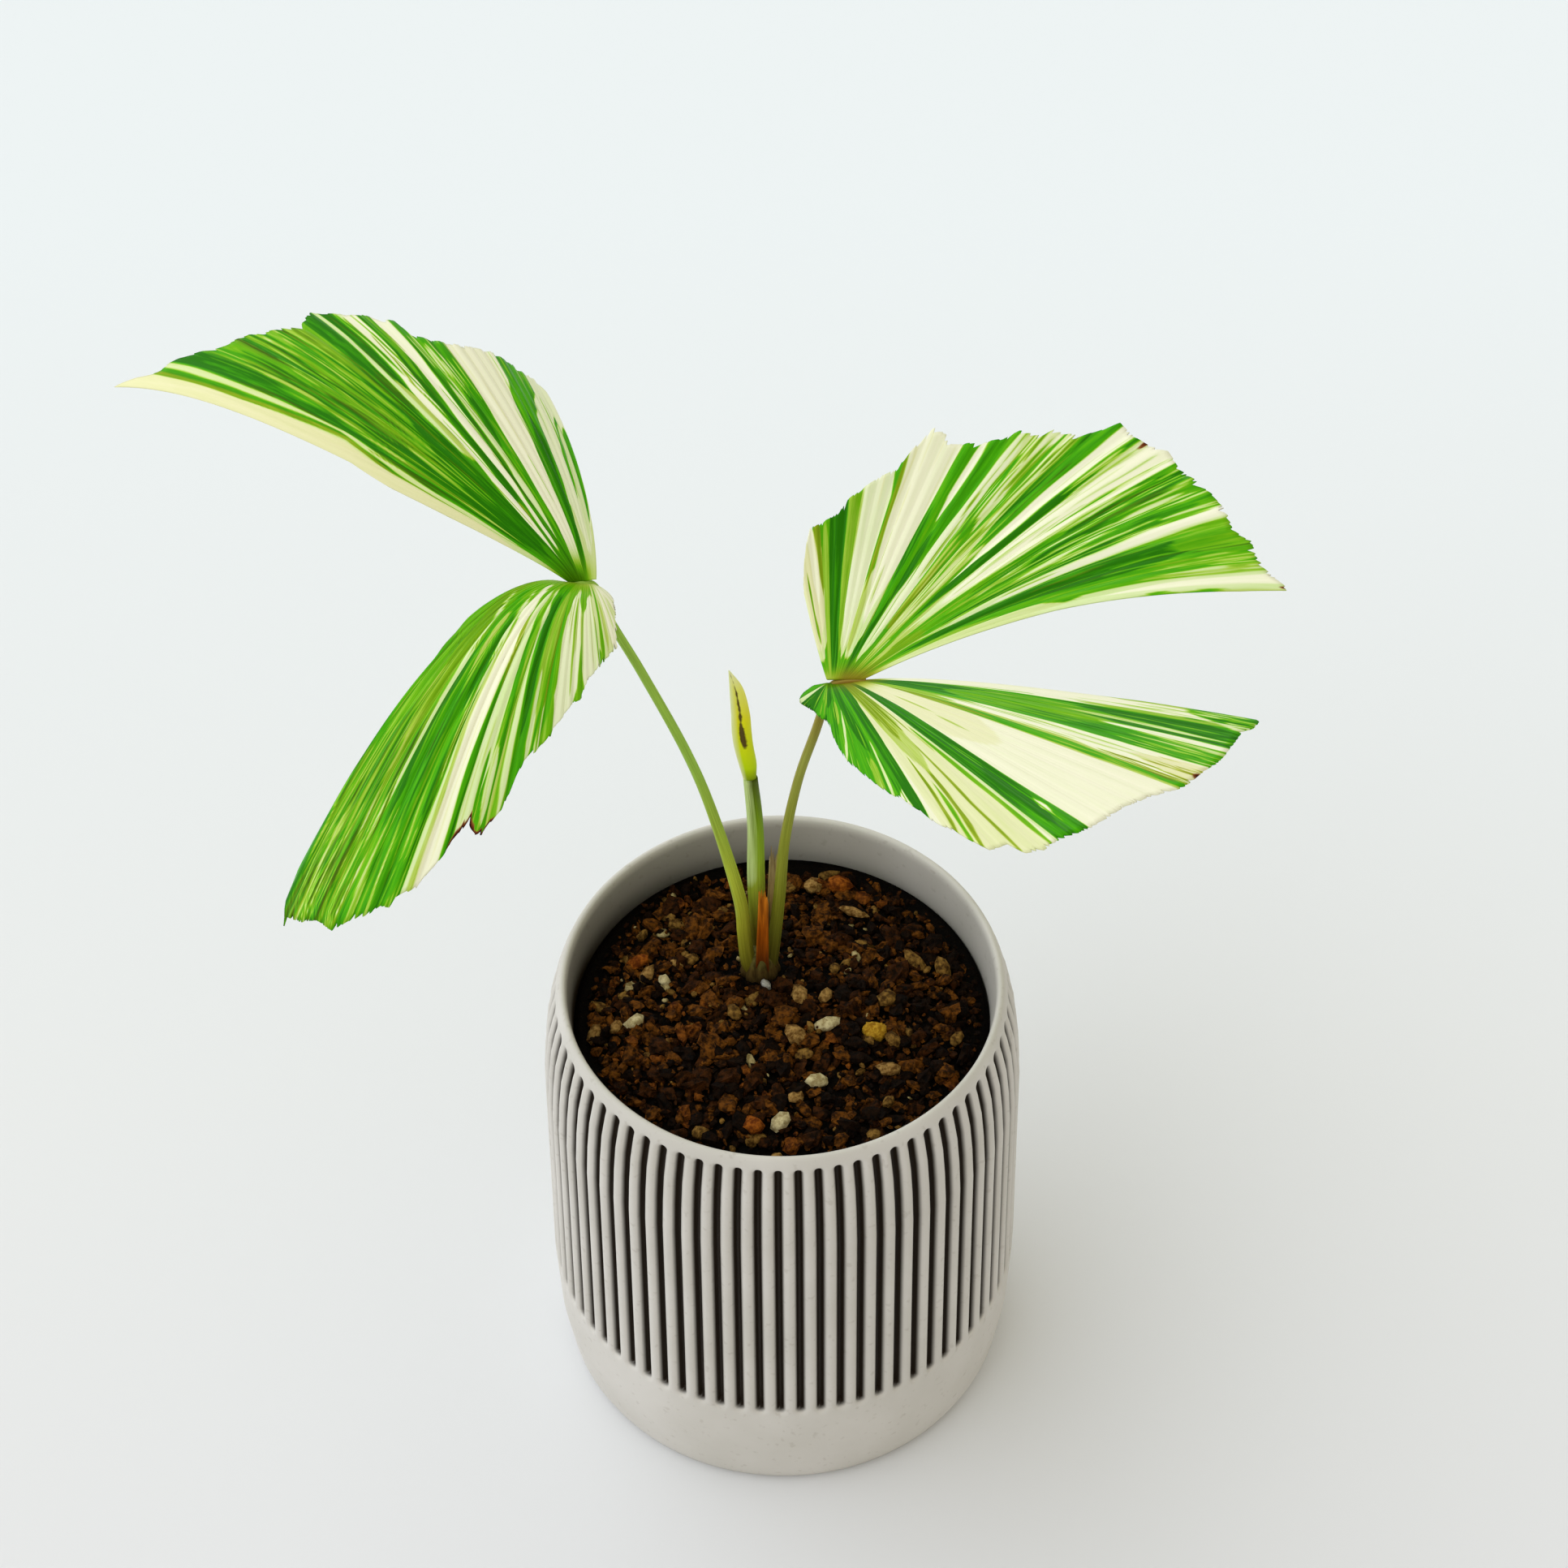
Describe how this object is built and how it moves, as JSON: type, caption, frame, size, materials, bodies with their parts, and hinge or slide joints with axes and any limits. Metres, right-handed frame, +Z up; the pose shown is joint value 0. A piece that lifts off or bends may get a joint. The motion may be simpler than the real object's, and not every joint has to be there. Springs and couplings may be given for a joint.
{
  "type": "potted variegated fishtail palm",
  "caption": "Young variegated fishtail palm with split pleated fan leaves and a closed spear leaf, rooted in coarse mix in a ribbed stoneware pot.",
  "frame": {"origin": "middle of the pot's flat underside, on the surface that it stands on", "axes": "+Z up along the pot's axis, +X towards the right leaf, -Y towards the front, from where the picture looks"},
  "size_m": [0.2539, 0.1276, 0.2734],
  "materials": {
    "stoneware": "matte",
    "potting_mix": "matte",
    "stem": "matte",
    "green_stalk": "satin",
    "young_leaf": "satin",
    "dried_leaf": "matte",
    "papery_leaf": "matte",
    "variegated_leaf": "satin"
  },
  "bodies": {
    "root": {"pot": "stoneware", "soil": "potting_mix", "stem_base": "stem", "petiole_left": "green_stalk", "petiole_right": "green_stalk", "spear_stalk": "green_stalk", "spear_leaf": "young_leaf", "dried_sheath": "dried_leaf", "papery_sheath": "papery_leaf", "frond_left_upper": "variegated_leaf", "frond_left_lower": "variegated_leaf", "frond_right_upper": "variegated_leaf", "frond_right_lower": "variegated_leaf"}
  },
  "joints": []
}
